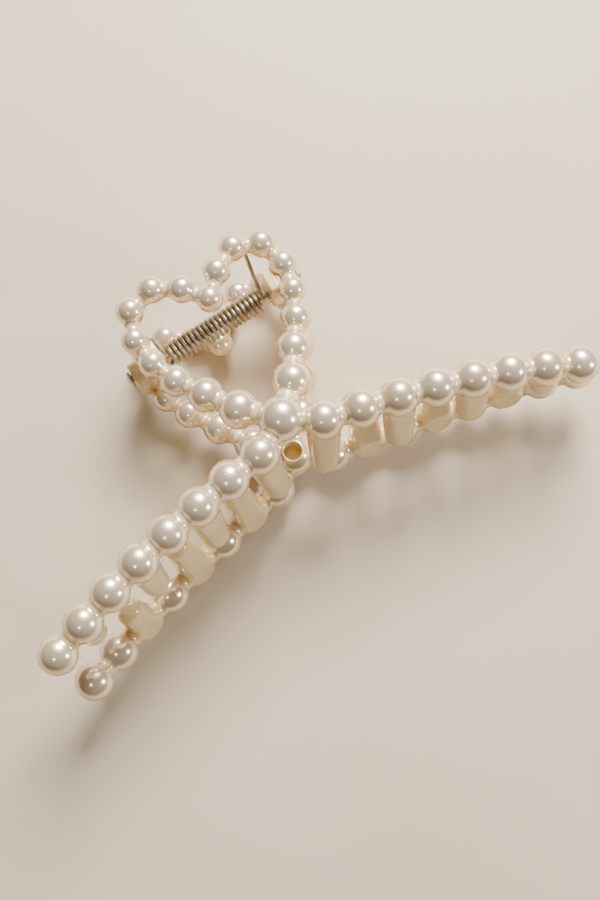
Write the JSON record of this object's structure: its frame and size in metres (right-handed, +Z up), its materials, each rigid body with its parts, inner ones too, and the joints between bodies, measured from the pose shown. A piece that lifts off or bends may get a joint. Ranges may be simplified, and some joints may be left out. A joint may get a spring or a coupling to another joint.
{
  "type": "hair claw clip",
  "caption": "Hair claw clip moulded as strings of imitation pearls: a heart-shaped handle over two long drooping arms, on a sprung hinge.",
  "frame": {"origin": "bottom centre of the closed clip's box, on the surface that its back jaw lies on", "axes": "+X along the hinge pin and the clip's length, +Y from the mouth to the heart-shaped handles, +Z up through the front jaw"},
  "size_m": [0.1276, 0.066, 0.033],
  "materials": {
    "pearl_plastic": "pearl lacquer, cream",
    "spring_steel": "aged nickel wire",
    "pin_steel": "aged nickel wire"
  },
  "bodies": {
    "back": {"back_jaw": "pearl_plastic", "hinge_pin": "pin_steel", "torsion_spring": "spring_steel"},
    "front": {"front_jaw": "pearl_plastic"}
  },
  "joints": [
    {"name": "jaw_hinge", "type": "hinge", "parent": "back", "child": "front", "pos_m": [0.00078, 0.01909, 0.01404], "axis": [-1, 0, 0], "range_deg": [0, 70], "stiffness_Nm_per_rad": 0.05, "springref_deg": -57.3, "deforming": ["torsion_spring"]}
  ]
}
